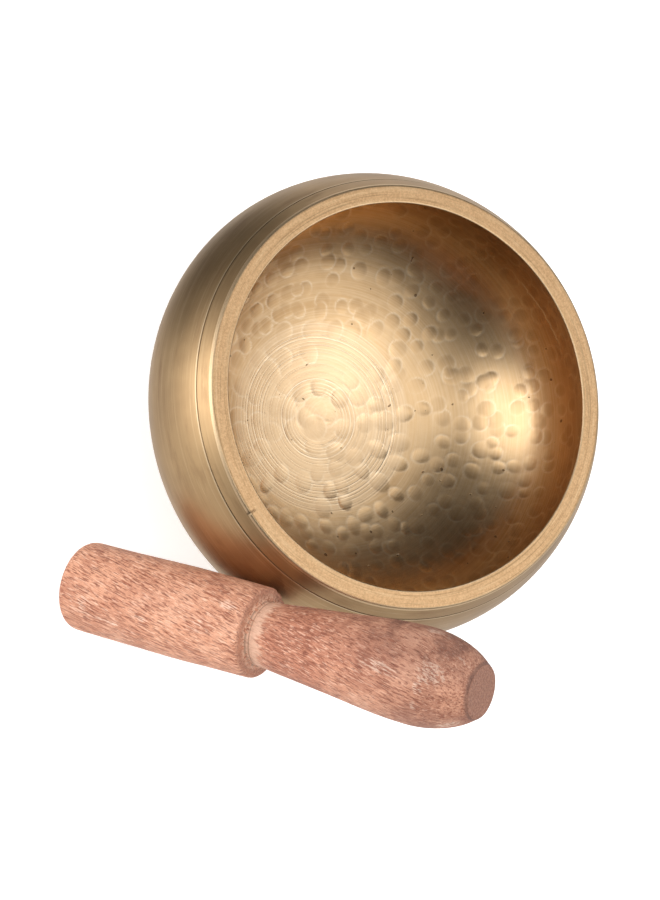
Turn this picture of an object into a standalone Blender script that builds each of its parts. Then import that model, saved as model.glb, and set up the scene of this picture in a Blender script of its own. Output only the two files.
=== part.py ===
"""Singing bowl with its wooden mallet.

Units are metres, +Z is up and the origin is the centre of the bowl's flat foot, on the floor.
The bowl stands upright on its foot. The mallet stands on the edge of its striking end in front
of the bowl and leans sideways along the bowl's belly; it is drawn off along its own length.
"""
import math

import bpy

COLLECTION_NAME = "singing_bowl"

# Bowl: one turned and hammered brass body.
BOWL_HEIGHT = 0.0530
RIM_RADIUS = 0.0510          # outer edge of the flat rim
RIM_WIDTH = 0.0043           # flat ring between the two rim edges
RIM_EDGE_BREAK = 0.0004      # small chamfer on both rim edges
BELLY_RADIUS = 0.0574        # widest outer radius
BELLY_WALL = 0.0036          # wall thickness at the belly
BELLY_DROP = 0.0205          # belly below the rim
LOWER_SEMI_HEIGHT = 0.0347   # semi-axis of the outer ellipse that closes the lower half
FLOOR_THICKNESS = 0.0046
SCORE_DROP = 0.0040          # turned line round the outside, below the rim
SCORE_HALF_WIDTH = 0.0004
SCORE_DEPTH = 0.0005
BOWL_STEPS = 96
UPPER_SPANS = 6              # straight spans between rim and belly
LOWER_SPANS = 12             # straight spans between belly and foot

# Mallet: one turned stick, x measured from the striking end along its own axis.
END_ROUNDING = 0.0025
END_RADIUS = 0.0108          # striking cylinder, at the end rounding
SHOULDER_RADIUS = 0.0110     # striking cylinder, at the shoulder
CYLINDER_SWELL = 0.00025     # extra radius halfway along the striking cylinder
SHOULDER_X = 0.0524          # end face of the striking cylinder
SHOULDER_ROUNDING = 0.0010
GROOVE_RADIUS = 0.0076       # turned groove at the foot of the shoulder
GROOVE_X = 0.0530
NECK_RADIUS = 0.0080
NECK_X = 0.0565
GRIP_RADIUS = 0.0116         # thickest part of the handle
GRIP_X = 0.0955
CAP_RADIUS = 0.0063          # flat sawn end of the handle
MALLET_LENGTH = 0.1117
END_SPANS = 4
GRIP_SPANS = 7
MALLET_STEPS = 48

# Mallet stance.
MALLET_TILT = math.radians(39.85)      # axis away from the vertical
MALLET_HEADING = math.radians(47.71)   # direction in which it leans, from +X towards +Y
MALLET_X = 0.02118
MALLET_Y = -0.07603

BRASS_COLOUR = (0.50, 0.34, 0.15, 1.0)
WOOD_COLOUR = (0.47, 0.21, 0.13, 1.0)


def clear_scene():
    for obj in list(bpy.data.objects):
        bpy.data.objects.remove(obj, do_unlink=True)
    for mesh in list(bpy.data.meshes):
        bpy.data.meshes.remove(mesh)


def make_material(name, colour, roughness, metallic):
    material = bpy.data.materials.new(name)
    material.use_nodes = True
    shader = material.node_tree.nodes["Principled BSDF"]
    shader.inputs["Base Color"].default_value = colour
    shader.inputs["Roughness"].default_value = roughness
    shader.inputs["Metallic"].default_value = metallic
    material.diffuse_color = colour
    return material


def turn(name, profile, steps, material, collection):
    """Turn an (r, z) profile about Z. It starts and ends on the axis, and runs down its outer side."""
    mesh = bpy.data.meshes.new(name)
    vertices = [(r, 0.0, z) for r, z in profile]
    edges = [(i, i + 1) for i in range(len(profile) - 1)]
    mesh.from_pydata(vertices, edges, [])
    obj = bpy.data.objects.new(name, mesh)
    collection.objects.link(obj)
    screw = obj.modifiers.new("turn", "SCREW")
    screw.axis = "Z"
    screw.angle = math.tau
    screw.steps = steps
    screw.render_steps = steps
    screw.use_merge_vertices = True
    screw.merge_threshold = 0.00001
    turned = bpy.data.meshes.new_from_object(obj.evaluated_get(bpy.context.evaluated_depsgraph_get()))
    obj.modifiers.clear()
    obj.data = turned
    bpy.data.meshes.remove(mesh)
    turned.name = name
    turned.shade_smooth()
    turned.set_sharp_from_angle(angle=math.radians(30))
    turned.materials.append(material)
    return obj


def side_radius(drop, rim_radius, belly_radius):
    """Radius of the upper side at a drop below the rim: a parabola that is upright at the belly."""
    t = drop / BELLY_DROP
    return rim_radius + (belly_radius - rim_radius) * (1 - (1 - t) ** 2)


def outer_profile():
    """Outer side from the rim's outer edge down to the centre of the foot."""
    points = [
        (RIM_RADIUS - RIM_EDGE_BREAK, BOWL_HEIGHT),
        (side_radius(RIM_EDGE_BREAK, RIM_RADIUS, BELLY_RADIUS), BOWL_HEIGHT - RIM_EDGE_BREAK),
    ]
    for drop, depth in ((-SCORE_HALF_WIDTH, 0.0), (0.0, SCORE_DEPTH), (SCORE_HALF_WIDTH, 0.0)):
        radius = side_radius(SCORE_DROP + drop, RIM_RADIUS, BELLY_RADIUS)
        points.append((radius - depth, BOWL_HEIGHT - SCORE_DROP - drop))
    for i in range(2, UPPER_SPANS + 1):
        drop = BELLY_DROP * i / UPPER_SPANS
        points.append((side_radius(drop, RIM_RADIUS, BELLY_RADIUS), BOWL_HEIGHT - drop))
    belly_z = BOWL_HEIGHT - BELLY_DROP
    foot_angle = math.asin(belly_z / LOWER_SEMI_HEIGHT)
    for i in range(1, LOWER_SPANS + 1):
        angle = foot_angle * i / LOWER_SPANS
        z = belly_z - LOWER_SEMI_HEIGHT * math.sin(angle)
        points.append((BELLY_RADIUS * math.cos(angle), max(z, 0.0)))
    points.append((0.0, 0.0))
    return points


def inner_profile():
    """Inside from the centre of the floor up to the rim's inner edge."""
    rim_radius = RIM_RADIUS - RIM_WIDTH
    belly_radius = BELLY_RADIUS - BELLY_WALL
    belly_z = BOWL_HEIGHT - BELLY_DROP
    depth = belly_z - FLOOR_THICKNESS
    points = [(0.0, FLOOR_THICKNESS)]
    for i in range(1, LOWER_SPANS + 1):
        angle = 0.5 * math.pi * (1 - i / LOWER_SPANS)
        points.append((belly_radius * math.cos(angle), belly_z - depth * math.sin(angle)))
    for i in range(1, UPPER_SPANS):
        drop = BELLY_DROP * (1 - i / UPPER_SPANS)
        points.append((side_radius(drop, rim_radius, belly_radius), BOWL_HEIGHT - drop))
    edge_radius = side_radius(RIM_EDGE_BREAK, rim_radius, belly_radius)
    points.append((edge_radius, BOWL_HEIGHT - RIM_EDGE_BREAK))
    points.append((rim_radius + RIM_EDGE_BREAK, BOWL_HEIGHT))
    return points


def make_bowl(material, collection):
    return turn("bowl", inner_profile() + outer_profile(), BOWL_STEPS, material, collection)


def striking_end_profile():
    """Striking cylinder from the centre of its end face up to the foot of its shoulder."""
    points = [(0.0, 0.0)]
    for i in range(END_SPANS + 1):
        angle = 0.5 * math.pi * i / END_SPANS
        radius = END_RADIUS - END_ROUNDING * (1 - math.sin(angle))
        points.append((radius, END_ROUNDING * (1 - math.cos(angle))))
    start = END_ROUNDING
    end = SHOULDER_X - SHOULDER_ROUNDING
    for i in range(1, 6):
        t = i / 5
        radius = END_RADIUS + (SHOULDER_RADIUS - END_RADIUS) * t + CYLINDER_SWELL * math.sin(math.pi * t)
        points.append((radius, start + (end - start) * t))
    for i in range(1, END_SPANS + 1):
        angle = 0.5 * math.pi * i / END_SPANS
        radius = SHOULDER_RADIUS - SHOULDER_ROUNDING * (1 - math.cos(angle))
        points.append((radius, end + SHOULDER_ROUNDING * math.sin(angle)))
    return points


def grip_profile():
    """Groove, neck and swelling handle up to the centre of its flat sawn end."""
    points = [(GROOVE_RADIUS + 0.0003, SHOULDER_X), (GROOVE_RADIUS, GROOVE_X), (NECK_RADIUS, NECK_X)]
    for i in range(1, GRIP_SPANS + 1):
        t = i / GRIP_SPANS
        swelling = 1.2 * t - 0.2 * t**5
        radius = NECK_RADIUS + (GRIP_RADIUS - NECK_RADIUS) * swelling
        points.append((radius, NECK_X + (GRIP_X - NECK_X) * t))
    cap_angle = math.acos(CAP_RADIUS / GRIP_RADIUS)
    reach = (MALLET_LENGTH - GRIP_X) / math.sin(cap_angle)
    for i in range(1, GRIP_SPANS + 1):
        angle = cap_angle * i / GRIP_SPANS
        points.append((GRIP_RADIUS * math.cos(angle), GRIP_X + reach * math.sin(angle)))
    points.append((0.0, MALLET_LENGTH))
    return points


def make_mallet(material, collection):
    profile = striking_end_profile() + grip_profile()
    mallet = turn("mallet", profile[::-1], MALLET_STEPS, material, collection)
    # The end rounding's centre circle sets how high the axis stands when its edge meets the floor.
    ring_radius = END_RADIUS - END_ROUNDING
    axis_height = END_ROUNDING + ring_radius * math.sin(MALLET_TILT) - END_ROUNDING * math.cos(MALLET_TILT)
    mallet.location = (MALLET_X, MALLET_Y, axis_height)
    mallet.rotation_euler = (0.0, MALLET_TILT, MALLET_HEADING)
    return mallet


def main():
    clear_scene()
    collection = bpy.data.collections.new(COLLECTION_NAME)
    bpy.context.scene.collection.children.link(collection)
    brass = make_material("hammered_brass", BRASS_COLOUR, 0.38, 1.0)
    wood = make_material("stained_wood", WOOD_COLOUR, 0.62, 0.0)
    make_bowl(brass, collection)
    make_mallet(wood, collection)


main()
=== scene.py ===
"""Singing bowl with its wooden mallet: the visual model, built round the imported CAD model.

Metres, +Z up, in the frame of the CAD. The bowl stands on its foot at the origin.
"""
import math

import bpy
import numpy as np
from mathutils import Euler, Matrix, Vector


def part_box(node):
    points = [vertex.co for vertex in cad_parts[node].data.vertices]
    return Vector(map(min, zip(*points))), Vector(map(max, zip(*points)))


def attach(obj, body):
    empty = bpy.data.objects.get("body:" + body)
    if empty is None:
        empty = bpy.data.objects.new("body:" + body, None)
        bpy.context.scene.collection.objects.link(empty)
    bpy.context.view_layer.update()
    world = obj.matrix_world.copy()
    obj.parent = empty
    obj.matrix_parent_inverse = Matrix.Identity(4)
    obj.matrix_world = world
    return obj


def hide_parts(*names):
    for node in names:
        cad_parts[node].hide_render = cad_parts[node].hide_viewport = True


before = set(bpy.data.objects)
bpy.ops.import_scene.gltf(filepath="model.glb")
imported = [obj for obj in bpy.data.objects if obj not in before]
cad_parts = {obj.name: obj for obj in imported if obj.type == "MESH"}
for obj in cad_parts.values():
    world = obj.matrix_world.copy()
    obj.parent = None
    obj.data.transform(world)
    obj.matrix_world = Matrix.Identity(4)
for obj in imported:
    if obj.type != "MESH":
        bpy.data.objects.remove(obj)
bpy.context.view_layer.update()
bowl_low, bowl_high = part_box("bowl")

MM = 0.001
rng = np.random.default_rng(41)

# ---------------------------------------------------------------- bowl sizes, as in the CAD model
BOWL_HEIGHT = bowl_high.z
BELLY_RADIUS = 0.5 * (bowl_high.x - bowl_low.x)
BELLY_WALL = 3.6 * MM
BELLY_DROP = 20.5 * MM
BELLY_Z = BOWL_HEIGHT - BELLY_DROP
LOWER_SEMI_HEIGHT = 34.7 * MM
FLOOR_THICKNESS = 4.6 * MM
RIM_RADIUS = 51.0 * MM
RIM_WIDTH = 4.3 * MM
INNER_RIM = RIM_RADIUS - RIM_WIDTH
RIM_EDGE_BREAK = 0.4 * MM
SCORE_DROP = 4.0 * MM

# ---------------------------------------------------------------- what the visual model adds to it
# The score line's section: distance from its middle, and depth, in mm.
SCORE_CUT = ((-0.24, 0.0), (-0.14, 0.0), (-0.09, 0.06), (-0.04, 0.17), (0.0, 0.20),
             (0.04, 0.17), (0.09, 0.06), (0.14, 0.0), (0.24, 0.0))
FLOOR_CENTRE = (-1.3 * MM, -2.5 * MM)   # the floor was turned and hammered a little off the rim's centre
NICK_ANGLE = math.radians(-71.9)        # small nick across the rim's outer edge
NICK_DEPTH = 0.18 * MM
NICK_HALF_ANGLE = 0.0036
NICK_WIDTH = 1.6 * MM                   # from the rim's outer edge inwards
INSIDE, RIM, OUTSIDE = range(3)         # zones of the skin, in the order of its materials
FINEST_RING = 896                       # vertices round the widest rings
COARSEST_RING = 28
FINEST_RADIUS = 30.0 * MM               # a narrower ring has half as many vertices, and so on inwards
INSIDE_STEP, RIM_STEP, LOWER_STEP, FOOT_STEP = 0.40 * MM, 0.30 * MM, 0.80 * MM, 1.20 * MM
FLOOR_ARC = 30.0 * MM                   # along the inside, from its centre, up to here it counts as floor
WALL_TOP_ARC, WALL_ROW_SPACING, WALL_MARK_SPACING = 78.0 * MM, 4.8 * MM, 5.0 * MM
# Rings of long marks on the floor, in mm: distance from its centre, count, half length, half width, depth.
FLOOR_RINGS = (
    (27.0, 30, 2.2, 2.0, 0.085), (22.4, 23, 2.7, 2.2, 0.125), (17.8, 17, 2.8, 2.3, 0.135),
    (13.0, 12, 2.6, 2.3, 0.090), (8.2, 8, 2.5, 2.6, 0.110),
)
CLOSED_RING = 10.0                      # mm: rings narrower than this have no gaps
CENTRE_MARKS = 5
LIP_HEIGHT, LIP_WIDTH, LIP_OFFSET = 0.014 * MM, 0.22 * MM, 0.18 * MM
SWELL_HEIGHT = 0.05 * MM
SCRATCH_ANGLE, SCRATCH_SPAN = math.radians(92.0), math.radians(18.0)
SCRATCH_ARC, SCRATCH_CLIMB = 66.0, -9.0     # mm along the wall, and mm a radian
LATHE_PITCH = 0.86                          # mm between turned lines on the floor

# ---------------------------------------------------------------- node helpers


class Graph:
    """A material's node tree, with short calls for the nodes used here."""

    def __init__(self, name):
        self.material = bpy.data.materials.new(name)
        self.material.use_nodes = True
        self.tree = self.material.node_tree
        self.shader = self.tree.nodes["Principled BSDF"]

    def node(self, kind, **settings):
        made = self.tree.nodes.new("ShaderNode" + kind)
        for key, value in settings.items():
            setattr(made, key, value)
        return made

    def put(self, socket, value):
        if isinstance(value, bpy.types.NodeSocket):
            self.tree.links.new(value, socket)
        elif value is not None:
            socket.default_value = value

    def math(self, operation, a, b=None, clamp=False):
        made = self.node("Math", operation=operation, use_clamp=clamp)
        for socket, value in zip(made.inputs, (a, b)):
            self.put(socket, value)
        return made.outputs[0]

    def product(self, first, *others):
        for value in others:
            first = self.math("MULTIPLY", first, value)
        return first

    def total(self, *terms, start=0.0):
        """start plus each term's value times its weight."""
        for value, weight in terms:
            start = self.math("ADD", start, self.product(value, weight))
        return start

    def vector(self, operation, a, b=None, scale=None):
        made = self.node("VectorMath", operation=operation)
        self.put(made.inputs[0], a)
        if b is not None:
            self.put(made.inputs[1], b)
        if scale is not None:
            self.put(made.inputs["Scale"], scale)
        return made.outputs["Value"] if operation == "LENGTH" else made.outputs["Vector"]

    def split(self, vector):
        made = self.node("SeparateXYZ")
        self.put(made.inputs[0], vector)
        return made.outputs

    def join(self, x=0.0, y=0.0, z=0.0):
        made = self.node("CombineXYZ")
        for socket, value in zip(made.inputs, (x, y, z)):
            self.put(socket, value)
        return made.outputs[0]

    def noise(self, vector, scale, detail=2.0, rough=0.5, distortion=0.0):
        made = self.node("TexNoise")
        self.put(made.inputs["Vector"], vector)
        settings = {"Scale": scale, "Detail": detail, "Roughness": rough, "Distortion": distortion}
        for key, value in settings.items():
            self.put(made.inputs[key], value)
        return made.outputs["Fac"]

    def line_noise(self, w, scale, detail=2.0, rough=0.5):
        made = self.node("TexNoise", noise_dimensions="1D")
        self.put(made.inputs["W"], w)
        for key, value in (("Scale", scale), ("Detail", detail), ("Roughness", rough)):
            self.put(made.inputs[key], value)
        return made.outputs["Fac"]

    def ramp(self, value, low, high, out_low=0.0, out_high=1.0):
        """A smooth step. With low above high it runs the other way."""
        made = self.node("MapRange", clamp=True, interpolation_type="SMOOTHSTEP")
        for socket, number in zip(made.inputs, (value, low, high, out_low, out_high)):
            self.put(socket, number)
        return made.outputs[0]

    def band(self, value, rise, fall):
        """1 between two places, with a soft rise and a soft fall."""
        return self.product(self.ramp(value, *rise), self.ramp(value, *fall, 1.0, 0.0))

    def mix(self, factor, a, b):
        made = self.node("Mix", data_type="RGBA", clamp_factor=True)
        self.put(made.inputs["Factor"], factor)
        self.put(made.inputs[6], a)
        self.put(made.inputs[7], b)
        return made.outputs[2]

    def tint(self, colour, other, where, amount):
        """The colour turned towards the other one by where times amount."""
        return self.mix(self.product(where, amount), colour, other)

    def attribute(self, name):
        return self.node("Attribute", attribute_name=name).outputs["Fac"]

    def position(self):
        return self.node("TexCoord").outputs["Object"]

    def bump(self, height):
        """A normal from a height in mm."""
        made = self.node("Bump")
        self.put(made.inputs["Height"], height)
        made.inputs["Distance"].default_value = MM
        return made.outputs["Normal"]

    def set(self, **sockets):
        for name, value in sockets.items():
            self.put(self.shader.inputs[name.replace("_", " ")], value)


def rgb(r, g, b):
    return (r, g, b, 1.0)


# ---------------------------------------------------------------- meshes


def angle_between(a, b):
    """a less b, wrapped to the range from minus to plus half a turn."""
    return (a - b + math.pi) % math.tau - math.pi


def resample(points, step):
    """Points at even spacing along a polyline."""
    points = np.array(points, float)
    spans = np.hypot(*np.diff(points, axis=0).T)
    along = np.concatenate([[0.0], np.cumsum(spans)])
    count = max(1, int(round(along[-1] / step)))
    at = np.linspace(0.0, along[-1], count + 1)
    return np.column_stack([np.interp(at, along, points[:, k]) for k in (0, 1)])


def ring_mesh(name, radii, heights, counts, offset, first_pole, last_pole):
    """A turned skin, closed on the axis at the heights first_pole and last_pole. Ring i has counts[i]
    vertices, and neighbouring counts are equal or differ by two times. offset(i, angles) gives the distance
    to move ring i's vertices along the profile's normal."""
    radii, heights = np.array(radii), np.array(heights)
    dr, dz = np.gradient(radii), np.gradient(heights)
    length = np.maximum(np.hypot(dr, dz), 1e-12)
    normal_r, normal_z = -dz / length, dr / length
    points, rings, start = [], [], 0
    for i, count in enumerate(counts):
        angles = np.arange(count) * (math.tau / count)
        moved = offset(i, angles)
        r = radii[i] + normal_r[i] * moved
        z = heights[i] + normal_z[i] * moved
        points.append(np.column_stack([r * np.cos(angles), r * np.sin(angles), z]))
        rings.append(start + np.arange(count))
        start += count
    faces = []
    for a, b in zip(rings, rings[1:]):
        if len(a) == len(b):
            faces += np.column_stack([a, b, np.roll(b, -1), np.roll(a, -1)]).tolist()
        elif len(a) < len(b):
            even, odd, after = b[0::2], b[1::2], np.roll(b[0::2], -1)
            next_a = np.roll(a, -1)
            faces += np.column_stack([a, even, odd]).tolist()
            faces += np.column_stack([a, odd, next_a]).tolist()
            faces += np.column_stack([next_a, odd, after]).tolist()
        else:
            even, odd, after = a[0::2], a[1::2], np.roll(a[0::2], -1)
            next_b = np.roll(b, -1)
            faces += np.column_stack([b, odd, even]).tolist()
            faces += np.column_stack([b, next_b, odd]).tolist()
            faces += np.column_stack([next_b, after, odd]).tolist()
    first, last = rings[0], rings[-1]
    poles = [(0.0, 0.0, first_pole), (0.0, 0.0, last_pole)]
    points = np.vstack([*points, poles])
    at_first, at_last = np.full(len(first), start), np.full(len(last), start + 1)
    faces += np.column_stack([at_first, first, np.roll(first, -1)]).tolist()
    faces += np.column_stack([last, at_last, np.roll(last, -1)]).tolist()
    mesh = bpy.data.meshes.new(name)
    mesh.from_pydata(points.tolist(), [], faces)
    mesh.shade_smooth()
    return mesh


def add_attribute(mesh, name, values):
    made = mesh.attributes.new(name, "FLOAT", "POINT")
    made.data.foreach_set("value", np.asarray(values, np.float32))


def read_places(mesh):
    places = np.zeros(3 * len(mesh.vertices), np.float32)
    mesh.vertices.foreach_get("co", places)
    return places.reshape(-1, 3)


def add_object(name, mesh, materials):
    made = bpy.data.objects.new(name, mesh)
    bpy.context.scene.collection.objects.link(made)
    for material in materials:
        mesh.materials.append(material)
    return made


def ring_noise(angles, waves, seed):
    """A smooth random curve round a ring, from -1 to 1, with that many waves at most."""
    local = np.random.default_rng(seed)
    total = np.zeros_like(angles)
    for k in range(1, waves + 1):
        total += local.normal() / math.sqrt(waves) * np.cos(k * angles + local.uniform(0, math.tau))
    return total * 0.7


# ---------------------------------------------------------------- bowl


def side_radius(drop, rim_radius, belly_radius):
    """Radius of the upper side at a drop below the rim: a parabola that is upright at the belly."""
    t = drop / BELLY_DROP
    return rim_radius + (belly_radius - rim_radius) * (1 - (1 - t) ** 2)


def inside_curve():
    """Centre of the floor up to the rim's inner edge break."""
    belly = BELLY_RADIUS - BELLY_WALL
    depth = BELLY_Z - FLOOR_THICKNESS
    points = []
    for angle in np.linspace(0.5 * math.pi, 0.0, 400):
        points.append((belly * math.cos(angle), BELLY_Z - depth * math.sin(angle)))
    for drop in np.linspace(BELLY_DROP, RIM_EDGE_BREAK, 120)[1:]:
        points.append((side_radius(drop, INNER_RIM, belly), BOWL_HEIGHT - drop))
    return points


def rim_curve():
    """Inner edge break, flat rim and outer edge break, from the inside outwards."""
    outer = RIM_RADIUS - RIM_EDGE_BREAK
    reach = side_radius(RIM_EDGE_BREAK, RIM_RADIUS, BELLY_RADIUS) - outer
    turns = np.linspace(0, 0.5 * math.pi, 4)[1:]
    points = []
    for angle in turns:
        radius = INNER_RIM + RIM_EDGE_BREAK * (1 - math.cos(angle))
        points.append((radius, BOWL_HEIGHT - RIM_EDGE_BREAK * (1 - math.sin(angle))))
    points += resample([points[-1], (outer, BOWL_HEIGHT)], RIM_STEP)[1:].tolist()
    for angle in turns:
        points.append((outer + reach * math.sin(angle), BOWL_HEIGHT - RIM_EDGE_BREAK * (1 - math.cos(angle))))
    return points


def outside_curve():
    """From below the outer edge break, with the score line, down to the middle of the foot."""
    drops = [(drop, 0.0) for drop in np.arange(0.75, 3.7, 0.30) * MM]
    drops += [(SCORE_DROP + drop * MM, depth * MM) for drop, depth in SCORE_CUT]
    drops += [(drop, 0.0) for drop in np.arange(4.6, 20.4, 0.55) * MM]
    points = []
    for drop, depth in drops:
        points.append((side_radius(drop, RIM_RADIUS, BELLY_RADIUS) - depth, BOWL_HEIGHT - drop))
    lower = []
    for angle in np.linspace(0, math.asin(BELLY_Z / LOWER_SEMI_HEIGHT), 300):
        lower.append((BELLY_RADIUS * math.cos(angle), BELLY_Z - LOWER_SEMI_HEIGHT * math.sin(angle)))
    lower = resample(lower, LOWER_STEP)
    foot_radius = lower[-1][0]
    points += lower[:-1].tolist()
    points += [(foot_radius - 0.15 * MM, 0.12 * MM), (foot_radius - 0.7 * MM, 0.0)]
    points += resample([(foot_radius - 1.5 * MM, 0.0), (1.0 * MM, 0.0)], FOOT_STEP).tolist()
    return points


def bowl_profile():
    """Radius, height, zone and distance along the profile, one of each a ring."""
    curves = {INSIDE: resample(inside_curve(), INSIDE_STEP)[1:], RIM: rim_curve(), OUTSIDE: outside_curve()}
    rows = np.array([(r, z, zone) for zone, curve in curves.items() for r, z in curve])
    spans = np.hypot(np.diff(rows[:, 0], prepend=0.0), np.diff(rows[:, 1], prepend=FLOOR_THICKNESS))
    return rows[:, 0], rows[:, 1], rows[:, 2].astype(int), np.cumsum(spans)


def ring_count(radius):
    """Vertices round a ring of that radius."""
    count, limit = FINEST_RING, FINEST_RADIUS
    while radius < limit and count > COARSEST_RING:
        count //= 2
        limit *= 0.5
    return count


def hammer_marks():
    """One tuple a mark: distance along the inside, angle round it, half length along the profile, half width
    across it, turn, depth, and the direction in which the blow pushed its lip up. Metres and radians."""
    inside = resample(inside_curve(), 0.2 * MM)
    arcs = np.arange(len(inside)) * 0.2 * MM
    marks = []

    def add(arc, angle, half_length, half_width, depth):
        turn = rng.uniform(-0.5, 0.5)
        marks.append((arc, angle, half_length, half_width, turn, depth, rng.uniform(0, math.tau)))

    def add_on_floor(out, around, half_length, half_width, depth):
        """The same for a place given from the floor's own centre."""
        x, y = FLOOR_CENTRE[0] + out * math.cos(around), FLOOR_CENTRE[1] + out * math.sin(around)
        arc = float(np.interp(math.hypot(x, y), inside[:, 0], arcs))
        add(arc, math.atan2(y, x), half_length, half_width, depth)

    # Wall: rows of round marks, thinned and shaken so that no row stays straight.
    arc = WALL_TOP_ARC
    while arc > FLOOR_ARC:
        radius = float(np.interp(arc, arcs, inside[:, 0]))
        count = int(math.tau * radius / WALL_MARK_SPACING)
        start = rng.uniform(0, math.tau)
        for k in range(count):
            if rng.random() < 0.14:
                continue
            size = rng.uniform(1.55, 2.15) * MM
            add(arc + rng.normal(0, 0.95) * MM, start + (k + rng.normal(0, 0.22)) * math.tau / count,
                size * rng.uniform(0.92, 1.2), size * rng.uniform(0.9, 1.08), rng.uniform(0.026, 0.066) * MM)
        arc -= WALL_ROW_SPACING
    for _ in range(36):
        size = rng.uniform(1.4, 2.0) * MM
        add(rng.uniform(31, 76) * MM, rng.uniform(0, math.tau), size, size, rng.uniform(0.03, 0.06) * MM)
    # Floor: longer marks that overlap like petals, in rings that close on the centre.
    for from_centre, count, half_length, half_width, depth in FLOOR_RINGS:
        start = rng.uniform(0, math.tau)
        for k in range(count):
            if from_centre > CLOSED_RING and rng.random() < 0.16:
                continue
            around = start + (k + rng.normal(0, 0.16)) * math.tau / count
            # One side of the floor was struck softer.
            soft = 0.66 + 0.46 * math.cos(around - 0.5) if from_centre > CLOSED_RING else 1.0
            add_on_floor((from_centre + rng.normal(0, 0.7)) * MM, around,
                         half_length * rng.uniform(0.8, 1.15) * MM, half_width * rng.uniform(0.8, 1.15) * MM,
                         depth * rng.uniform(0.6, 1.2) * soft * MM)
    for k in range(CENTRE_MARKS):
        around = 0.6 + k * math.tau / CENTRE_MARKS
        add_on_floor(2.4 * MM, around, 3.2 * MM, 3.0 * MM, rng.uniform(0.06, 0.10) * MM)
    return marks


def stamp(marks, radii, arcs, counts, zones):
    """For each ring's vertices: depth of the marks, how far inside a mark they lie, and the raised lip."""
    depth, mark, lip = ([np.zeros(count) for count in counts] for _ in range(3))
    inside_rings = [i for i in range(len(counts)) if zones[i] == INSIDE]
    for arc, angle, half_length, half_width, turn, deep, lip_side in marks:
        reach = max(half_length, half_width) + 1.1 * MM
        size = 0.5 * (half_length + half_width)
        cos_turn, sin_turn = math.cos(turn), math.sin(turn)
        for i in inside_rings:
            along = arcs[i] - arc
            if abs(along) > reach:
                continue
            angles = np.arange(counts[i]) * (math.tau / counts[i])
            away = angle_between(angles, angle)
            # On the floor both distances are taken flat, from the mark's own radius. On the wall x is the
            # distance along the profile, as the mark would unroll.
            x = radii[i] * np.cos(away) - (arc if arc < FLOOR_ARC else radii[i] - along)
            y = radii[i] * np.sin(away)
            near = np.nonzero(np.hypot(x, y) < reach)[0]
            if not len(near):
                continue
            x, y = x[near], y[near]
            u, v = cos_turn * x + sin_turn * y, cos_turn * y - sin_turn * x
            rho = np.sqrt((u / half_length) ** 2 + (v / half_width) ** 2)
            side = np.cos(np.arctan2(v, u) - lip_side)
            pit = -deep * (1 - rho ** 2) * (1 + 0.35 * rho * side)
            gap = (rho - 1) * size
            edge = np.exp(-((gap - LIP_OFFSET) / LIP_WIDTH) ** 2) * (0.22 + 0.78 * np.clip(side + 0.2, 0, 1))
            depth[i][near] = np.where(rho < 1, np.minimum(depth[i][near], pit), depth[i][near])
            mark[i][near] = np.maximum(mark[i][near], np.clip(-gap / (1.0 * MM) + 0.15, 0, 1))
            # A later mark flattens the lips of the earlier ones that it covers.
            flattened = lip[i][near] * np.clip(gap / (0.4 * MM) + 0.6, 0, 1)
            lip[i][near] = np.maximum(flattened, edge * np.clip(gap / (0.3 * MM) + 1, 0, 1))
    return depth, mark, lip


def make_bowl(materials):
    radii, heights, zones, arcs = bowl_profile()
    counts = [ring_count(radius) for radius in radii]
    plain_side = arcs[zones == INSIDE][-1] + 14 * MM
    for i, arc in enumerate(arcs):
        if zones[i] == OUTSIDE and arc > plain_side:
            counts[i] = min(counts[i], FINEST_RING // 2)
    depth, mark, lip = stamp(hammer_marks(), radii, arcs, counts, zones)

    def offset(i, angles):
        if zones[i] == INSIDE:
            # The wall is slightly uneven, but not at the centre of the floor or next to the rim.
            swell = SWELL_HEIGHT * ring_noise(angles + radii[i] * 30, 6, 5) * min(1.0, radii[i] / (20 * MM))
            swell = swell * (1 - np.clip((arcs[i] - 80 * MM) / (7 * MM), 0, 1))
            return depth[i] + lip[i] * LIP_HEIGHT + swell
        if zones[i] == RIM and radii[i] > RIM_RADIUS - NICK_WIDTH:
            return -NICK_DEPTH * (np.abs(angle_between(angles, NICK_ANGLE)) < NICK_HALF_ANGLE)
        return np.zeros(len(angles))

    mesh = ring_mesh("bowl_body", radii, heights, counts, offset, FLOOR_THICKNESS, 0.0)
    x, y, _ = read_places(mesh).astype(float).T
    nicked = np.clip(1.4 - np.abs(angle_between(np.arctan2(y, x), NICK_ANGLE)) / 0.0042, 0, 1)
    add_attribute(mesh, "nick", nicked * (np.hypot(x, y) > RIM_RADIUS - NICK_WIDTH + 0.3 * MM))
    add_attribute(mesh, "turning", np.hypot(x - FLOOR_CENTRE[0], y - FLOOR_CENTRE[1]) / MM)
    # The two last vertices are the poles.
    arc_of = [np.full(count, arc / MM) for count, arc in zip(counts, arcs)]
    for name, rings in (("arc", arc_of), ("mark", mark), ("lip", lip)):
        add_attribute(mesh, name, np.concatenate([*rings, [0.0, 0.0]]))
    zone_of = np.concatenate([np.repeat(zones, counts), [INSIDE, OUTSIDE]])
    first = np.zeros(len(mesh.polygons), np.int32)
    mesh.polygons.foreach_get("loop_start", first)
    corners = np.zeros(len(mesh.loops), np.int32)
    mesh.loops.foreach_get("vertex_index", corners)
    mesh.polygons.foreach_set("material_index", zone_of[corners[first]].astype(np.int32))
    return add_object("bowl_body", mesh, materials)


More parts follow.
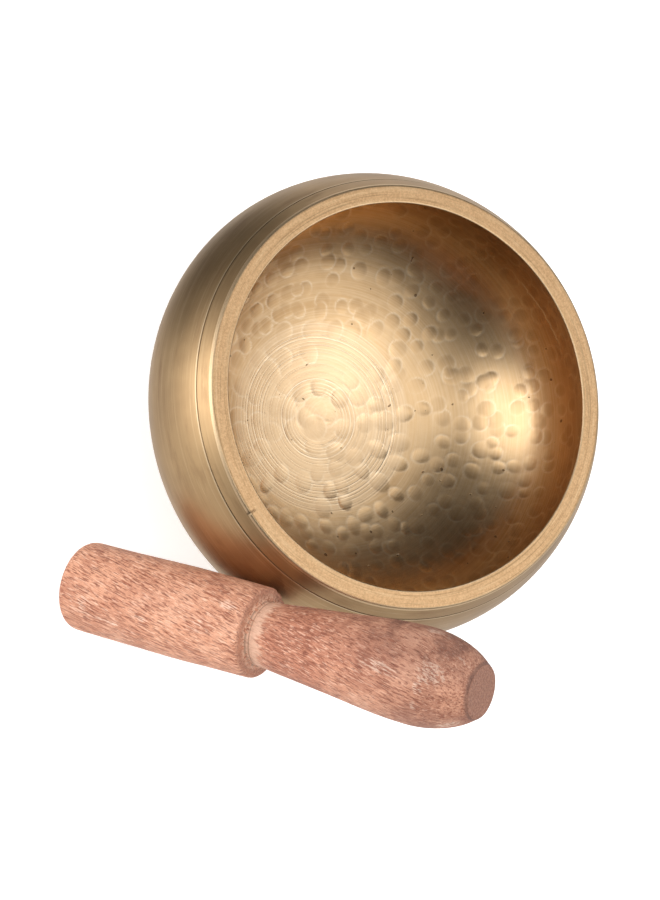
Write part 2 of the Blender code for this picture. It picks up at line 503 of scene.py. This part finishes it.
# ---------------------------------------------------------------- brass
INSIDE_DULL, INSIDE_WARM = rgb(0.56, 0.355, 0.175), rgb(0.80, 0.545, 0.295)
INSIDE_STREAK, INSIDE_FLOOR = rgb(0.93, 0.73, 0.49), rgb(0.86, 0.640, 0.410)
INSIDE_MARK_SHADE, INSIDE_LIP_HIGHLIGHT = rgb(0.44, 0.260, 0.120), rgb(0.98, 0.82, 0.60)
TURNED_LINE_GLINT, BETWEEN_LINES_SHADE = rgb(0.99, 0.86, 0.66), rgb(0.50, 0.33, 0.17)
SCRATCH_BRIGHT, PIT_DARK, NICK_DARK = rgb(0.98, 0.80, 0.55), rgb(0.12, 0.07, 0.035), rgb(0.10, 0.055, 0.030)
RIM_DARK, RIM_LIGHT = rgb(0.49, 0.300, 0.150), rgb(0.69, 0.445, 0.240)
RIM_SCUFF, RIM_EDGE_HIGHLIGHT = rgb(0.74, 0.54, 0.32), rgb(0.88, 0.68, 0.43)
RIM_DARK_STREAK, RIM_LIGHT_STREAK = rgb(0.25, 0.155, 0.070), rgb(0.80, 0.60, 0.36)
OUTSIDE_DARK, OUTSIDE_LIGHT = rgb(0.42, 0.270, 0.140), rgb(0.58, 0.385, 0.200)
PATINA = rgb(0.33, 0.190, 0.095)
OUTSIDE_DARK_STREAK, OUTSIDE_LIGHT_STREAK = rgb(0.30, 0.18, 0.085), rgb(0.70, 0.51, 0.30)
OUTSIDE_SCUFF, SCORE_HIGHLIGHT, SCORE_SHADE = rgb(0.82, 0.64, 0.42), rgb(0.88, 0.70, 0.46), rgb(0.12, 0.075, 0.04)


def ring_coordinates(g, around, along):
    """Coordinates that run round the bowl without a seam. around sets how soon a streak ends, and along how
    fine it is across."""
    x, y, _ = g.split(g.position())
    direction = g.vector("SCALE", g.vector("NORMALIZE", g.join(x, y, 0.0)), scale=around)
    return g.vector("ADD", direction, g.join(0.0, 0.0, g.product(g.attribute("arc"), along)))


def lathe_lines(g, turning, floor, mark, worn):
    """Turned lines on the floor, strongest in two bands: how strong they are, and the lines themselves."""
    wander = g.product(g.line_noise(turning, 0.55, 2, 0.6), 9.0)
    pitch = g.math("SINE", g.math("ADD", g.product(turning, math.tau / LATHE_PITCH), wander))
    outer_band = g.band(turning, (15.5, 18.0), (22.4, 23.4))
    inner_band = g.band(turning, (6.2, 7.5), (9.6, 11.0))
    both_bands = g.total((outer_band, 0.75), (inner_band, 0.6))
    strength = g.math("ADD", both_bands, g.product(floor, 0.5), clamp=True)
    strength = g.product(strength, g.ramp(turning, 5.2, 6.4), g.total((mark, -0.35), start=1.0))
    each_line = g.ramp(g.line_noise(turning, 1.15, 1, 0.5), 0.35, 0.6, 0.35, 1.0)
    strength = g.product(strength, each_line, g.ramp(worn, 0.35, 0.62, 0.45, 1.0))
    return strength, g.product(g.ramp(pitch, 0.15, 0.95), strength)


def hairline_scratch(g, x, y, arc):
    """A hairline scratch high on the wall."""
    angle = g.math("ARCTAN2", y, x)
    along = g.math("SUBTRACT", angle, SCRATCH_ANGLE)
    path = g.total((along, SCRATCH_CLIMB), (g.line_noise(angle, 12.0, 3, 0.6), 2.4), start=SCRATCH_ARC)
    off = g.math("ABSOLUTE", g.math("SUBTRACT", arc, path))
    length = g.band(along, (-0.02, 0.02), (SCRATCH_SPAN, SCRATCH_SPAN + 0.05))
    return g.product(g.ramp(off, 0.10, 0.26, 1.0, 0.0), length)


def inside_brass():
    g = Graph("brass_hammered_inside")
    position = g.position()
    x, y, _ = g.split(position)
    arc, mark, lip, turning = [g.attribute(name) for name in ("arc", "mark", "lip", "turning")]
    streak = g.noise(ring_coordinates(g, 1.6, 2.2), 1.0, 4, 0.65)
    fine = g.noise(ring_coordinates(g, 6.0, 7.0), 1.0, 3, 0.7)
    worn = g.noise(ring_coordinates(g, 1.1, 0.5), 1.0, 3, 0.6)
    cloud = g.noise(position, 38.0, 4, 0.6)
    grain = g.noise(position, 2600.0, 2, 0.6)
    pits = g.ramp(g.noise(position, 760.0, 0, 0.4), 0.165, 0.14)
    floor = g.ramp(turning, 22.8, 25.0, 1.0, 0.0)
    strength, turned = lathe_lines(g, turning, floor, mark, worn)
    scratch = hairline_scratch(g, x, y, arc)
    height = g.total((turned, 0.034), (streak, 0.008), (fine, 0.0035), (grain, 0.0016),
                     (scratch, 0.02), (pits, -0.03))
    colour = g.mix(g.ramp(cloud, 0.3, 0.7), INSIDE_DULL, INSIDE_WARM)
    colour = g.tint(colour, INSIDE_STREAK, g.ramp(streak, 0.35, 0.75), 0.34)
    colour = g.tint(colour, INSIDE_FLOOR, floor, 0.5)
    # Painted shade inside the hammer marks, stronger on the wall than on the floor.
    colour = g.tint(colour, INSIDE_MARK_SHADE, mark, g.ramp(arc, 24.0, 32.0, 0.05, 0.26))
    # Painted highlight along the raised lips round the marks.
    colour = g.tint(colour, INSIDE_LIP_HIGHLIGHT, lip, 0.38)
    # Painted shade between the turned lines, and painted glints along them.
    colour = g.tint(colour, BETWEEN_LINES_SHADE, g.math("SUBTRACT", strength, turned), 0.26)
    colour = g.tint(colour, TURNED_LINE_GLINT, turned, 0.55)
    colour = g.tint(colour, SCRATCH_BRIGHT, scratch, 0.75)
    colour = g.tint(colour, PIT_DARK, pits, 0.7)
    rough = g.total((cloud, 0.07), (fine, 0.06), (g.ramp(arc, 44.0, 58.0), 0.08), (scratch, 0.2), start=0.235)
    g.set(Base_Color=colour, Metallic=1.0, Roughness=rough, Normal=g.bump(height))
    return g.material


def rim_brass():
    g = Graph("brass_turned_rim")
    position = g.position()
    x, y, _ = g.split(position)
    radius = g.vector("LENGTH", g.join(x, y, 0.0))
    streak = g.noise(ring_coordinates(g, 1.3, 2.3), 1.0, 3, 0.7)
    scuff = g.noise(ring_coordinates(g, 5.0, 1.2), 1.0, 4, 0.7)
    sand = g.noise(position, 3000.0, 3, 0.7)
    speckle = g.noise(position, 2200.0, 3, 0.75)
    inner_edge = g.ramp(radius, INNER_RIM + 0.30 * MM, INNER_RIM + 0.55 * MM, 1.0, 0.0)
    outer_edge = g.ramp(radius, RIM_RADIUS - 0.30 * MM, RIM_RADIUS - 0.10 * MM)
    colour = g.mix(g.ramp(speckle, 0.3, 0.7), RIM_DARK, RIM_LIGHT)
    colour = g.tint(colour, RIM_SCUFF, g.ramp(scuff, 0.45, 0.70), 0.35)
    colour = g.tint(colour, RIM_DARK_STREAK, g.ramp(streak, 0.53, 0.66), 0.55)
    colour = g.tint(colour, RIM_LIGHT_STREAK, g.ramp(streak, 0.40, 0.32), 0.45)
    # Painted highlight along the inner and outer edge breaks.
    colour = g.tint(colour, RIM_EDGE_HIGHLIGHT, g.math("ADD", inner_edge, outer_edge, clamp=True), 0.55)
    colour = g.tint(colour, NICK_DARK, g.attribute("nick"), 0.70)
    height = g.total((streak, 0.030), (sand, 0.005))
    rough = g.total((sand, 0.12), start=0.36)
    g.set(Base_Color=colour, Metallic=1.0, Roughness=rough, Normal=g.bump(height))
    return g.material


def outside_brass():
    g = Graph("brass_turned_outside")
    position = g.position()
    _, _, z = g.split(position)
    drop = g.math("SUBTRACT", BOWL_HEIGHT, z)
    from_score = g.math("SUBTRACT", g.product(drop, 1.0 / MM), SCORE_DROP / MM)
    fine_at = ring_coordinates(g, 4.0, 5.0)
    streak = g.noise(ring_coordinates(g, 1.1, 1.3), 1.0, 5, 0.7)
    fine = g.noise(fine_at, 1.0, 3, 0.7)
    patina = g.noise(ring_coordinates(g, 3.2, 0.22), 1.0, 5, 0.65)
    cloud = g.noise(position, 30.0, 4, 0.6)
    grain = g.noise(position, 2400.0, 2, 0.6)
    scuffs = g.ramp(g.noise(g.vector("ADD", fine_at, (7.0, 3.0, 1.0)), 1.0, 2, 0.5), 0.66, 0.74)
    colour = g.mix(g.ramp(cloud, 0.3, 0.7), OUTSIDE_DARK, OUTSIDE_LIGHT)
    colour = g.tint(colour, PATINA, g.ramp(patina, 0.50, 0.72), 0.50)
    colour = g.tint(colour, OUTSIDE_LIGHT_STREAK, g.ramp(streak, 0.50, 0.75), 0.55)
    colour = g.tint(colour, OUTSIDE_DARK_STREAK, g.ramp(streak, 0.42, 0.30), 0.45)
    colour = g.tint(colour, OUTSIDE_SCUFF, scuffs, 0.45)
    # Painted shade in the score line's cut, with a painted highlight below it.
    colour = g.tint(colour, SCORE_HIGHLIGHT, g.band(from_score, (0.12, 0.22), (0.40, 0.55)), 0.55)
    colour = g.tint(colour, SCORE_SHADE, g.band(from_score, (-0.16, -0.08), (0.08, 0.16)), 0.7)
    colour = g.tint(colour, NICK_DARK, g.attribute("nick"), g.ramp(drop, 0.6 * MM, 1.0 * MM, 0.6, 0.0))
    height = g.total((streak, 0.012), (fine, 0.006), (grain, 0.002))
    rough = g.total((fine, 0.12), (patina, 0.10), start=0.30)
    g.set(Base_Color=colour, Metallic=1.0, Roughness=rough, Normal=g.bump(height))
    return g.material


# ---------------------------------------------------------------- mallet sizes, as in the CAD model
MALLET_TILT = math.radians(39.85)
MALLET_HEADING = math.radians(47.71)
MALLET_FOOT = (21.18 * MM, -76.03 * MM)
END_ROUNDING = 2.5 * MM
END_RADIUS = 10.8 * MM
CYLINDER_SWELL = 0.25 * MM
SHOULDER_X = 52.4 * MM
SHOULDER_RADIUS = 11.0 * MM
SHOULDER_ROUNDING = 1.0 * MM
GROOVE_X = 53.0 * MM
GROOVE_RADIUS = 7.6 * MM
NECK_X = 56.5 * MM
NECK_RADIUS = 8.0 * MM
GRIP_X = 95.5 * MM
GRIP_RADIUS = 11.6 * MM
MALLET_LENGTH = 111.7 * MM
CAP_RADIUS = 6.3 * MM

# ---------------------------------------------------------------- what the visual model adds to it
MALLET_STEPS = 240               # vertices round the stick
MALLET_ROW = 0.34 * MM
FACING = math.radians(199.2)     # side of the stick that is turned up and to the front, round its axis
GRAIN_TWIST = -20.0              # radians of turn a metre: the fibres run slightly askew
# Places as patch() takes them: mm from the striking end, degrees from the facing side, length and width in
# mm, and turn. The worn ones begin with their strength.
DEEP_NICKS = (
    (25.2, -17, 2.2, 0.45, 0.2), (15.9, -34, 2.8, 0.40, 0.1), (40.1, 23, 0.7, 0.6),
    (49.3, 18, 1.4, 0.7, 0.9), (103.0, 6, 1.8, 1.0, 0.4), (89.0, 1, 2.4, 0.8, 0.3),
)
WORN_SPOTS = (
    (0.90, 103.2, 10, 3.4, 2.6, 0.3), (0.60, 90.0, 3, 7.0, 1.8, 0.15), (0.70, 101.0, -12, 1.2, 1.4),
    (0.60, 100.0, -35, 1.0, 1.8), (0.50, 108.2, 45, 3.4, 0.6, 0.5), (0.55, 47.5, 26, 3.2, 1.2),
    (0.90, 25.4, -19, 2.0, 0.5, 0.2), (0.90, 15.9, -36, 2.6, 0.45, 0.1),
    (0.35, 42.0, -8, 9.0, 4.0), (0.35, 8.0, -20, 7.0, 7.0),
)


def mallet_curve():
    """Radius and distance along the axis, from the striking end's face to the sawn end."""
    points = []
    for angle in np.linspace(0, 0.5 * math.pi, 12):
        radius = END_RADIUS - END_ROUNDING * (1 - math.sin(angle))
        points.append((radius, END_ROUNDING * (1 - math.cos(angle))))
    side_end = SHOULDER_X - SHOULDER_ROUNDING
    for t in np.linspace(0, 1, 40)[1:]:
        radius = END_RADIUS + (SHOULDER_RADIUS - END_RADIUS) * t + CYLINDER_SWELL * math.sin(math.pi * t)
        points.append((radius, END_ROUNDING + (side_end - END_ROUNDING) * t))
    for angle in np.linspace(0, 0.5 * math.pi, 6)[1:]:
        radius = SHOULDER_RADIUS - SHOULDER_ROUNDING * (1 - math.cos(angle))
        points.append((radius, side_end + SHOULDER_ROUNDING * math.sin(angle)))
    points += [(8.4 * MM, SHOULDER_X), (7.75 * MM, SHOULDER_X + 0.2 * MM), (GROOVE_RADIUS, GROOVE_X)]
    for t in np.linspace(0, 1, 8)[1:]:
        points.append((GROOVE_RADIUS + (NECK_RADIUS - GROOVE_RADIUS) * t, GROOVE_X + (NECK_X - GROOVE_X) * t))
    for t in np.linspace(0, 1, 60)[1:]:
        swelling = 1.2 * t - 0.2 * t**5
        points.append((NECK_RADIUS + (GRIP_RADIUS - NECK_RADIUS) * swelling, NECK_X + (GRIP_X - NECK_X) * t))
    cap_angle = math.acos(CAP_RADIUS / GRIP_RADIUS)
    reach = (MALLET_LENGTH - GRIP_X) / math.sin(cap_angle)
    for angle in np.linspace(0, cap_angle, 40)[1:]:
        points.append((GRIP_RADIUS * math.cos(angle), GRIP_X + reach * math.sin(angle)))
    return points


def waves(local, angles, z, count, most_round, most_along):
    """A smooth random field over the stick, about -1 to 1."""
    total = np.zeros(np.broadcast(angles, z).shape)
    for _ in range(count):
        k, m = local.integers(0, most_round + 1), local.uniform(-most_along, most_along)
        total += np.cos(k * angles + m * z + local.uniform(0, math.tau))
    return total / math.sqrt(count)


def patch(angles, z, at_mm, side_degrees, length_mm, width_mm, turn=0.0):
    """A soft spot on the stick, 1 at its middle. Its side is measured from the facing side to the bowl's."""
    across = angle_between(angles, FACING - math.radians(side_degrees))
    u, v = z / MM - at_mm, across * SHOULDER_RADIUS / MM
    u, v = u * math.cos(turn) + v * math.sin(turn), v * math.cos(turn) - u * math.sin(turn)
    return np.exp(-((u / length_mm) ** 2 + (v / width_mm) ** 2))


def fibre_relief(local, rows):
    """Random grains drawn out along the askew grain, for each row and step of the stick."""
    grains = local.normal(size=(rows, MALLET_STEPS))
    shift = MALLET_ROW * GRAIN_TWIST / (math.tau / MALLET_STEPS)
    fibre = sum(np.roll(np.roll(grains, k, 0), int(round(-k * shift)), 1) for k in range(-4, 5)) / 3.0
    return (fibre + np.roll(fibre, 1, 1)) / 1.4


def random_dings(local, angles, z):
    total = 0.0
    for _ in range(60):
        strength = local.uniform(0.4, 1.0)
        total = total + strength * patch(
            angles, z, local.uniform(4, 108), local.uniform(-180, 180),
            local.uniform(0.8, 2.6), local.uniform(0.25, 0.8), local.uniform(-0.5, 0.5))
    return total


def worn_through(local, angles, z):
    """Where the stain has worn through: the spots that the photo shows, and random ones elsewhere."""
    total = sum(strength * patch(angles, z, *spot) for strength, *spot in WORN_SPOTS)
    for _ in range(14):
        strength = local.uniform(0.2, 0.7)
        total = total + strength * patch(
            angles, z, local.uniform(5, 108), local.uniform(60, 300),
            local.uniform(1, 6), local.uniform(0.5, 2.5))
    return total


def make_mallet(material):
    local = np.random.default_rng(7)
    curve = resample(mallet_curve(), MALLET_ROW)
    end_face = resample([(1.2 * MM, 0.0), curve[0]], 0.8 * MM)[:-1]
    sawn_face = resample([curve[-1], (0.8 * MM, MALLET_LENGTH)], 0.42 * MM)[1:]
    rows = np.vstack([end_face, curve, sawn_face])[::-1]
    angles = (np.arange(MALLET_STEPS) * (math.tau / MALLET_STEPS))[None, :]
    z, r = rows[:, 1][:, None], rows[:, 0][:, None]
    fibre = fibre_relief(local, len(rows))
    lumps = waves(local, angles, z, 18, 5, 260.0)
    dings = random_dings(local, angles, z)
    nicks = sum(patch(angles, z, *spot) for spot in DEEP_NICKS)
    on_side = np.clip((z - 1.0 * MM) / (2.0 * MM), 0, 1)
    on_side = on_side * np.clip((MALLET_LENGTH - 0.2 * MM - z) / (1.0 * MM), 0, 1)
    shoulder = np.exp(-(((z - 51.6 * MM) / (0.9 * MM)) ** 2)) * (r > 9 * MM)
    chips = np.clip(waves(local, angles, z * 0, 14, 26, 1.0) - 0.35, 0, 2)
    near_cap = np.clip((z - 100 * MM) / (9 * MM), 0, 1)
    facets = np.abs(waves(local, angles, z, 8, 7, 60.0))
    offset = (0.010 * fibre + 0.075 * lumps - 0.10 * dings - 0.16 * nicks) * on_side
    offset = offset - 0.30 * shoulder * chips - 0.16 * facets * near_cap * on_side
    offset = (offset - 0.05) * MM
    mesh = ring_mesh("mallet_stick", rows[:, 0], rows[:, 1], [MALLET_STEPS] * len(rows),
                     lambda i, _: offset[i], MALLET_LENGTH, 0.0)

    # How far the stain has worn through, how red it is, and how dark it is: darkened by hands towards the
    # sawn end, with painted shade along one side of the stick and in the chips round the shoulder.
    worn = worn_through(local, angles, z) * (r > CAP_RADIUS * 0.98)
    at = z / MM
    red = 0.75 * np.exp(-(((at - 64) / 12) ** 2)) + 0.35 * patch(angles, z, 27, 5, 10, 6)
    red = red + 0.30 * (0.5 + 0.5 * waves(local, angles, z, 12, 4, 160.0))
    # Painted shade: one side of the stick is darker, most towards the sawn end.
    top = np.clip(np.cos(angles - FACING + math.radians(80)), 0, 1)
    dark = np.clip((at - 72) / 26, 0, 1) ** 1.1 * (0.50 + 0.60 * top) + 0.30 * top * np.clip(at / 60, 0, 1)
    # Painted shade in the chips round the shoulder.
    dark = dark + 0.45 * shoulder * np.clip(chips, 0, 1)
    for name, field in (("worn", worn), ("red", red), ("dark", dark)):
        values = np.clip(field, 0, 1).ravel()
        add_attribute(mesh, name, np.concatenate([values, [values[0], values[-1]]]))

    # The wood's own coordinates are kept along the stick before the mesh is put in its place.
    own = mesh.attributes.new("along_stick", "FLOAT_VECTOR", "POINT")
    own.data.foreach_set("vector", read_places(mesh).ravel())
    ring = END_RADIUS - END_ROUNDING
    height = END_ROUNDING + ring * math.sin(MALLET_TILT) - END_ROUNDING * math.cos(MALLET_TILT)
    turn = Euler((0.0, MALLET_TILT, MALLET_HEADING)).to_matrix().to_4x4()
    mesh.transform(Matrix.Translation((*MALLET_FOOT, height)) @ turn)
    return add_object("mallet_stick", mesh, [material])


# ---------------------------------------------------------------- wood
WOOD_RED, WOOD_TAN, WOOD_PALE = rgb(0.30, 0.085, 0.038), rgb(0.66, 0.315, 0.190), rgb(0.80, 0.46, 0.31)
WOOD_PATCH, DEEP_RED, SOFT_RED = rgb(0.38, 0.135, 0.075), rgb(0.26, 0.070, 0.032), rgb(0.52, 0.20, 0.115)
CROSS_STAIN, BARE_WOOD, HANDLED_AND_SHADED = rgb(0.34, 0.13, 0.075), rgb(0.80, 0.57, 0.44), rgb(0.17, 0.075, 0.050)
PALE_FLECK, DARK_DASH = rgb(0.92, 0.60, 0.44), rgb(0.23, 0.065, 0.034)
SPECKLE = rgb(0.26, 0.085, 0.045)
GROOVE_LINE, GROOVE_CREAM, GROOVE_DULL = rgb(0.34, 0.215, 0.15), rgb(0.74, 0.46, 0.33), rgb(0.5, 0.3, 0.19)
END_GRAIN_DARK, END_GRAIN_LIGHT = rgb(0.20, 0.080, 0.046), rgb(0.39, 0.190, 0.125)
SHOULDER_FACE_SHADE, SAW_RING = rgb(0.36, 0.170, 0.110), rgb(0.12, 0.055, 0.04)
GROOVE_PITCH = 0.8 * MM


def wood():
    g = Graph("wood_stained")
    position = g.node("Attribute", attribute_name="along_stick").outputs["Vector"]
    _, _, z = g.split(position)
    radius = g.vector("LENGTH", g.vector("MULTIPLY", position, (1.0, 1.0, 0.0)))
    rotate = g.node("VectorRotate", rotation_type="Z_AXIS")
    g.put(rotate.inputs["Vector"], position)
    g.put(rotate.inputs["Angle"], g.product(z, GRAIN_TWIST))
    twisted = rotate.outputs[0]
    fibre_at = g.vector("MULTIPLY", twisted, (1.0, 1.0, 0.14))
    dash_at = g.vector("MULTIPLY", twisted, (1.0, 1.0, 0.13))
    cross_at = g.vector("MULTIPLY", position, (0.30, 0.30, 1.0))
    fibre = g.noise(fibre_at, 2300.0, 2, 0.6)
    fine = g.noise(fibre_at, 4200.0, 3, 0.7)
    cross = g.noise(cross_at, 2600.0, 3, 0.6)
    cloud = g.noise(position, 120.0, 5, 0.65, 0.4)
    large = g.noise(g.vector("MULTIPLY", position, (1.0, 1.0, 0.45)), 55.0, 3, 0.5)
    dashes = g.ramp(g.noise(dash_at, 3000.0, 1, 0.5), 0.42, 0.34)
    flecks = g.ramp(g.noise(g.vector("ADD", dash_at, (0.3, 0.1, 0.2)), 2900.0, 1, 0.5), 0.58, 0.66)
    speckle = g.ramp(g.noise(fibre_at, 5200.0, 1, 0.5), 0.50, 0.36)
    worn, red, dark = [g.attribute(name) for name in ("worn", "red", "dark")]

    # The stain.
    colour = g.mix(g.ramp(fibre, 0.30, 0.52), WOOD_RED, WOOD_TAN)
    colour = g.tint(colour, WOOD_PALE, g.ramp(cloud, 0.46, 0.72), 0.50)
    colour = g.tint(colour, WOOD_PATCH, g.ramp(cloud, 0.50, 0.36), 0.45)
    reddened = g.ramp(g.math("ADD", red, g.math("SUBTRACT", large, 0.5)), 0.1, 0.8)
    colour = g.tint(colour, g.mix(g.ramp(fibre, 0.3, 0.7), DEEP_RED, SOFT_RED), reddened, 0.80)
    colour = g.tint(colour, CROSS_STAIN, g.ramp(cross, 0.50, 0.72), 0.22)
    worn_fibre = g.math("ADD", 0.35, g.ramp(fibre, 0.40, 0.60, 0.0, 1.3))
    colour = g.tint(colour, BARE_WOOD, g.ramp(g.product(worn, worn_fibre), 0.35, 0.65), 0.75)
    # Darkened by hands towards the sawn end, with painted shade on one side and in the shoulder's chips.
    colour = g.tint(colour, HANDLED_AND_SHADED, g.product(dark, g.ramp(cloud, 0.35, 0.62, 1.0, 0.55)), 0.95)
    colour = g.tint(colour, PALE_FLECK, g.product(flecks, g.ramp(dark, 0.0, 0.7, 1.0, 0.35)), 0.42)
    colour = g.tint(colour, DARK_DASH, dashes, 0.62)
    colour = g.tint(colour, SPECKLE, speckle, 0.34)

    # The turned groove has never taken the stain. Its lines are the turning tool's.
    ragged = g.product(g.math("SUBTRACT", g.noise(fibre_at, 1300.0, 3, 0.7), 0.5), 0.009)
    groove = g.band(g.math("ADD", z, ragged), (SHOULDER_X - 0.1 * MM, SHOULDER_X + 0.2 * MM),
                    (NECK_X - 1.5 * MM, NECK_X + 1.0 * MM))
    groove = g.product(groove, g.ramp(radius, 9.2 * MM, 9.8 * MM, 1.0, 0.0))
    tool_lines = g.math("SINE", g.product(z, math.tau / GROOVE_PITCH))
    tool_lines = g.product(tool_lines, g.ramp(z, GROOVE_X + 0.7 * MM, GROOVE_X + 1.3 * MM, 1.0, 0.12))
    cream = g.mix(g.ramp(tool_lines, -1.0, -0.1), GROOVE_LINE, GROOVE_CREAM)
    cream = g.mix(g.ramp(fine, 0.35, 0.7), g.mix(0.4, cream, GROOVE_DULL), cream)
    colour = g.tint(colour, cream, groove, 0.9)
    # Painted shade on the shoulder's step face, beside the groove.
    face = g.band(z, (SHOULDER_X - 0.7 * MM, SHOULDER_X - 0.1 * MM), (GROOVE_X, GROOVE_X + 0.5 * MM))
    face = g.product(face, g.ramp(radius, 8.4 * MM, 9.2 * MM))
    colour = g.tint(colour, SHOULDER_FACE_SHADE, face, 0.50)

    # Sawn end: matt and plain, with a dark ring where the saw broke out.
    end_grain = g.mix(g.ramp(g.noise(position, 1800.0, 4, 0.7), 0.3, 0.7), END_GRAIN_DARK, END_GRAIN_LIGHT)
    colour = g.mix(g.ramp(z, MALLET_LENGTH - 0.25 * MM, MALLET_LENGTH - 0.10 * MM), colour, end_grain)
    saw_ring = g.band(z, (MALLET_LENGTH - 1.1 * MM, MALLET_LENGTH - 0.4 * MM),
                      (MALLET_LENGTH - 0.20 * MM, MALLET_LENGTH - 0.05 * MM))
    colour = g.tint(colour, SAW_RING, saw_ring, 0.6)

    height = g.total((fibre, 0.20), (fine, 0.035), (cross, 0.03), (dashes, -0.12),
                     (g.product(groove, tool_lines), 0.03))
    rough = g.total((fibre, 0.2), start=0.55)
    g.set(Base_Color=colour, Roughness=rough, Normal=g.bump(height))
    return g.material


# ---------------------------------------------------------------- studio
CAMERA_PLACE = Vector((0.007066, -0.374063, 0.800871))
CAMERA_RIGHT = Vector((0.28291, 0.86879, 0.40641))      # the photo was taken with the camera turned
CAMERA_UP = Vector((-0.95915, 0.25626, 0.11987))
CAMERA_LENS = 190.9                                     # mm, on a sensor 36 mm wide
LIGHT_TARGET = Vector((0, 0, 0.03))
WORLD_WHITE = 1.0
FLOOR_SIDE = 20.0
FLOOR_DROP = 0.0002
FLOOR_ALBEDO, FLOOR_GLOW = 0.90, 0.42


def aim(obj, target):
    obj.rotation_mode = "QUATERNION"
    obj.rotation_quaternion = (target - obj.location).to_track_quat("-Z", "Y")


def make_camera():
    data = bpy.data.cameras.new("camera")
    data.sensor_fit = "HORIZONTAL"
    data.sensor_width = 36.0
    data.lens = CAMERA_LENS
    data.clip_start, data.clip_end = 0.01, 20.0
    camera = bpy.data.objects.new("camera", data)
    bpy.context.scene.collection.objects.link(camera)
    back = CAMERA_RIGHT.cross(CAMERA_UP).normalized()
    turn = Matrix((CAMERA_RIGHT, CAMERA_UP, back)).transposed()
    camera.matrix_world = Matrix.Translation(CAMERA_PLACE) @ turn.to_4x4()
    bpy.context.scene.camera = camera


def direction(azimuth, elevation):
    a, e = math.radians(azimuth), math.radians(elevation)
    return Vector((math.cos(e) * math.cos(a), math.cos(e) * math.sin(a), math.sin(e)))


def soft_box(name, azimuth, elevation, width, height, radiance, distance=0.8, shape="ELLIPSE"):
    """A soft light at that direction from the bowl's middle, of an even brightness."""
    data = bpy.data.lights.new(name, "AREA")
    data.shape = shape
    data.size, data.size_y = width, height
    area = width * height * (math.pi / 4 if shape == "ELLIPSE" else 1.0)
    data.energy = radiance * math.pi * area
    lamp = bpy.data.objects.new(name, data)
    bpy.context.scene.collection.objects.link(lamp)
    lamp.location = LIGHT_TARGET + distance * direction(azimuth, elevation)
    aim(lamp, LIGHT_TARGET)
    lamp.visible_camera = False


def make_lights():
    """Azimuth and elevation in degrees, width and height in metres, and brightness."""
    soft_box("light_front", -114, 26, 0.44, 1.26, 2.3, shape="RECTANGLE")
    soft_box("light_front_core", -114, 21, 0.22, 0.34, 2.4, distance=0.75)
    soft_box("light_top", -116, 78, 0.24, 0.24, 1.3)
    soft_box("light_back", 66, 62, 1.24, 1.16, 0.96)
    soft_box("light_back_wide", 44, 64, 1.80, 1.60, 0.13, distance=0.85)
    soft_box("light_back_core", 58, 68, 0.36, 0.30, 1.1, distance=0.75)


def make_world():
    """White all round, as the camera and matt surfaces see it. Glossy reflections see a dimmer studio: pale
    below and in front, dark low at the bowl's left, and nearly dark above, where the lights are."""
    world = bpy.data.worlds.new("studio")
    bpy.context.scene.world = world
    world.use_nodes = True
    tree = world.node_tree
    tree.nodes.clear()

    def node(kind, **settings):
        made = tree.nodes.new("ShaderNode" + kind)
        for key, value in settings.items():
            setattr(made, key, value)
        return made

    def falloff(axis, low, high, value):
        """value where the direction lies towards axis, by its cosine from low (none) to high (all)."""
        dot = node("VectorMath", operation="DOT_PRODUCT")
        tree.links.new(where, dot.inputs[0])
        dot.inputs[1].default_value = Vector(axis).normalized()
        made = node("MapRange", clamp=True, interpolation_type="SMOOTHSTEP")
        tree.links.new(dot.outputs["Value"], made.inputs[0])
        for socket, number in zip(made.inputs[1:], (low, high, 0.0, value)):
            socket.default_value = number
        return made.outputs[0]

    def combine(operation, a, b):
        made = node("Math", operation=operation)
        for socket, value in zip(made.inputs, (a, b)):
            if isinstance(value, bpy.types.NodeSocket):
                tree.links.new(value, socket)
            else:
                socket.default_value = value
        return made.outputs[0]

    where = node("TexCoord").outputs["Generated"]
    output = node("OutputWorld")
    plain, seen = node("Background"), node("Background")
    plain.inputs["Strength"].default_value = WORLD_WHITE
    below = falloff((0, 0, -1), -0.12, 0.20, 1.0)
    lit = combine("SUBTRACT", 1.0, falloff(direction(-168, -36), 0.80, 0.97, 0.95))
    below = combine("MULTIPLY", below, lit)
    front = falloff(direction(-112, -4), 0.90, 0.975, 0.9)
    total = combine("ADD", combine("ADD", below, front), 0.05)
    tree.links.new(total, seen.inputs["Strength"])
    path, mix = node("LightPath"), node("MixShader")
    tree.links.new(path.outputs["Is Glossy Ray"], mix.inputs[0])
    tree.links.new(plain.outputs[0], mix.inputs[1])
    tree.links.new(seen.outputs[0], mix.inputs[2])
    tree.links.new(mix.outputs[0], output.inputs["Surface"])
    world.cycles.sampling_method = "NONE"


def make_floor():
    mesh = bpy.data.meshes.new("floor")
    corners = [(x * FLOOR_SIDE, y * FLOOR_SIDE, 0.0) for x, y in ((-1, -1), (1, -1), (1, 1), (-1, 1))]
    mesh.from_pydata(corners, [], [(0, 1, 2, 3)])
    g = Graph("floor_white")
    g.set(Base_Color=rgb(FLOOR_ALBEDO, FLOOR_ALBEDO, FLOOR_ALBEDO), Roughness=0.9,
          Emission_Color=rgb(1, 1, 1), Emission_Strength=FLOOR_GLOW)
    floor = add_object("floor", mesh, [g.material])
    floor.location.z = -FLOOR_DROP
    floor.visible_glossy = False


# ---------------------------------------------------------------- the scene

bpy.context.scene.view_settings.view_transform = "Standard"
bpy.context.scene.view_settings.look = "None"
make_camera()
make_world()
make_floor()
make_lights()

bowl = make_bowl([inside_brass(), rim_brass(), outside_brass()])
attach(bowl, "bowl")
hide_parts("bowl")

mallet = make_mallet(wood())
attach(mallet, "mallet")
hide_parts("mallet")
